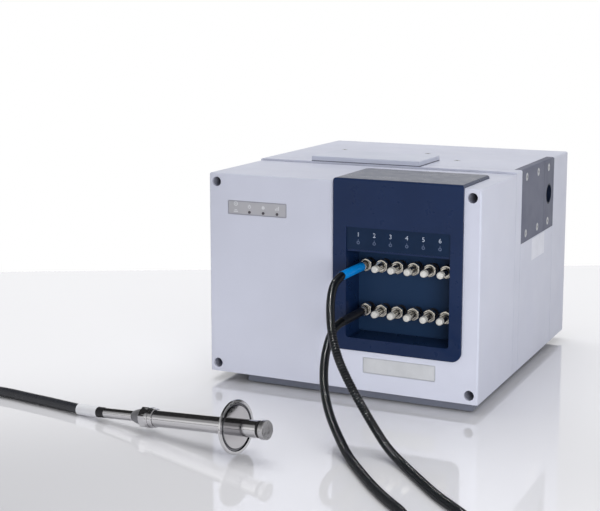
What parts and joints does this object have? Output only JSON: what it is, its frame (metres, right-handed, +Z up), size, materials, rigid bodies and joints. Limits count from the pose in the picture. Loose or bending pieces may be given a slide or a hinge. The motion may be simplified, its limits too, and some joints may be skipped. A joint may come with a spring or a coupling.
{
  "type": "near-infrared spectrometer",
  "caption": "Bench-top near-infrared process spectrometer with a blue fibre port panel and a two-legged fibre cable ending in an immersion probe.",
  "frame": {"origin": "on the table under the middle of the housing, the cable and probe left out", "axes": "+X to the right seen from the front, -Y out of the port panel, +Z up"},
  "size_m": [0.8317, 1.0007, 0.3037],
  "materials": {
    "cover_paint": "satin lavender grey",
    "panel_paint": "satin grey",
    "blue_paint": "glossy navy blue",
    "dark_metal": "dark anodised",
    "bare_metal": "milled",
    "nickel": "nickel plated",
    "steel": "polished stainless steel",
    "mirror_glass": "polished",
    "white_plastic": "matt white",
    "grey_foil": "matt grey",
    "strip_foil": "matt navy blue",
    "plate_foil": "brushed",
    "label_foil": "matt pale grey",
    "lens": "translucent",
    "black_plastic": "matt black",
    "rocker_plastic": "glossy black",
    "black_rubber": "matt black",
    "black_cable": "satin black",
    "blue_sleeve": "satin bright blue",
    "white_sleeve": "matt white",
    "board": "green solder mask",
    "lamp_glass": "clear"
  },
  "bodies": {
    "housing": {"rubber_feet": "black_rubber", "front_hood": "cover_paint", "hood_corner_sockets": "black_plastic", "hood_screws": "steel", "led_panel": "grey_foil", "led_lenses": "lens", "name_plate": "plate_foil", "blue_fascia": "blue_paint", "label_strip": "strip_foil", "port_plate": "dark_metal", "port_adapters": "nickel", "rear_cover": "cover_paint", "front_gasket": "black_rubber", "top_service_lid": "cover_paint", "side_panel_main": "panel_paint", "side_panel_port": "panel_paint", "side_port_insert": "black_plastic", "side_label": "label_foil", "chassis": "dark_metal", "back_sockets": "black_plastic", "back_panel": "bare_metal", "cover_screws": "steel", "optical_bench": "bare_metal", "lamp_housing": "dark_metal", "halogen_lamp": "lamp_glass", "beam_optics": "mirror_glass", "reference_laser": "dark_metal", "drive_motors": "black_plastic", "detector_module": "dark_metal", "circuit_board": "board", "power_supply": "bare_metal", "plug_bodies": "steel", "upper_sleeve": "blue_sleeve", "lower_sleeve": "black_cable", "upper_leg": "black_cable", "lower_leg": "black_cable", "y_junction": "black_plastic", "trunk_cable": "black_cable", "marker_sleeve": "white_sleeve", "probe_boot": "black_rubber", "probe_body": "steel", "gland_nut": "steel", "probe_seal": "black_rubber", "probe_tip": "steel"},
    "upper_nut": {"upper_plug_nut": "nickel"},
    "lower_nut": {"lower_plug_nut": "nickel"},
    "rocker": {"power_switch_rocker": "rocker_plastic"},
    "interferometer_arm": {"swing_arm": "bare_metal"},
    "filter_wheel": {"filter_wheel": "dark_metal"},
    "channel_selector": {"channel_selector": "bare_metal"},
    "upper_dust_cap_2": {"upper_dust_cap_2": "white_plastic"},
    "upper_dust_cap_3": {"upper_dust_cap_3": "white_plastic"},
    "upper_dust_cap_4": {"upper_dust_cap_4": "white_plastic"},
    "upper_dust_cap_5": {"upper_dust_cap_5": "white_plastic"},
    "upper_dust_cap_6": {"upper_dust_cap_6": "white_plastic"},
    "lower_dust_cap_2": {"lower_dust_cap_2": "white_plastic"},
    "lower_dust_cap_3": {"lower_dust_cap_3": "white_plastic"},
    "lower_dust_cap_4": {"lower_dust_cap_4": "white_plastic"},
    "lower_dust_cap_5": {"lower_dust_cap_5": "white_plastic"},
    "lower_dust_cap_6": {"lower_dust_cap_6": "white_plastic"}
  },
  "joints": [
    {"name": "upper_cap_2_pull", "type": "slide", "parent": "housing", "child": "upper_dust_cap_2", "axis": [0, -1, 0], "range_m": [0, 0.01]},
    {"name": "upper_cap_3_pull", "type": "slide", "parent": "housing", "child": "upper_dust_cap_3", "axis": [0, -1, 0], "range_m": [0, 0.01]},
    {"name": "upper_cap_4_pull", "type": "slide", "parent": "housing", "child": "upper_dust_cap_4", "axis": [0, -1, 0], "range_m": [0, 0.01]},
    {"name": "upper_cap_5_pull", "type": "slide", "parent": "housing", "child": "upper_dust_cap_5", "axis": [0, -1, 0], "range_m": [0, 0.01]},
    {"name": "upper_cap_6_pull", "type": "slide", "parent": "housing", "child": "upper_dust_cap_6", "axis": [0, -1, 0], "range_m": [0, 0.01]},
    {"name": "lower_cap_2_pull", "type": "slide", "parent": "housing", "child": "lower_dust_cap_2", "axis": [0, -1, 0], "range_m": [0, 0.01]},
    {"name": "lower_cap_3_pull", "type": "slide", "parent": "housing", "child": "lower_dust_cap_3", "axis": [0, -1, 0], "range_m": [0, 0.01]},
    {"name": "lower_cap_4_pull", "type": "slide", "parent": "housing", "child": "lower_dust_cap_4", "axis": [0, -1, 0], "range_m": [0, 0.01]},
    {"name": "lower_cap_5_pull", "type": "slide", "parent": "housing", "child": "lower_dust_cap_5", "axis": [0, -1, 0], "range_m": [0, 0.01]},
    {"name": "lower_cap_6_pull", "type": "slide", "parent": "housing", "child": "lower_dust_cap_6", "axis": [0, -1, 0], "range_m": [0, 0.01]},
    {"name": "upper_nut_turn", "type": "hinge", "parent": "housing", "child": "upper_nut", "pos_m": [0.0286, -0.203, 0.1782], "axis": [0, -1, 0], "continuous": true},
    {"name": "lower_nut_turn", "type": "hinge", "parent": "housing", "child": "lower_nut", "pos_m": [0.0286, -0.203, 0.1173], "axis": [0, -1, 0], "continuous": true},
    {"name": "power_switch", "type": "hinge", "parent": "housing", "child": "rocker", "pos_m": [-0.082, 0.209, 0.062], "axis": [1, 0, 0], "range_deg": [-16, 0]},
    {"name": "interferometer_swing", "type": "hinge", "parent": "housing", "child": "interferometer_arm", "pos_m": [0.085, -0.01, 0.124], "axis": [0, 0, 1], "range_deg": [-8, 8]},
    {"name": "filter_wheel_turn", "type": "hinge", "parent": "housing", "child": "filter_wheel", "pos_m": [-0.062, -0.105, 0.124], "axis": [1, 0, 0], "continuous": true},
    {"name": "channel_select", "type": "hinge", "parent": "housing", "child": "channel_selector", "pos_m": [0.13, -0.1245, 0.124], "axis": [0, 1, 0], "range_deg": [-70, 50]}
  ]
}
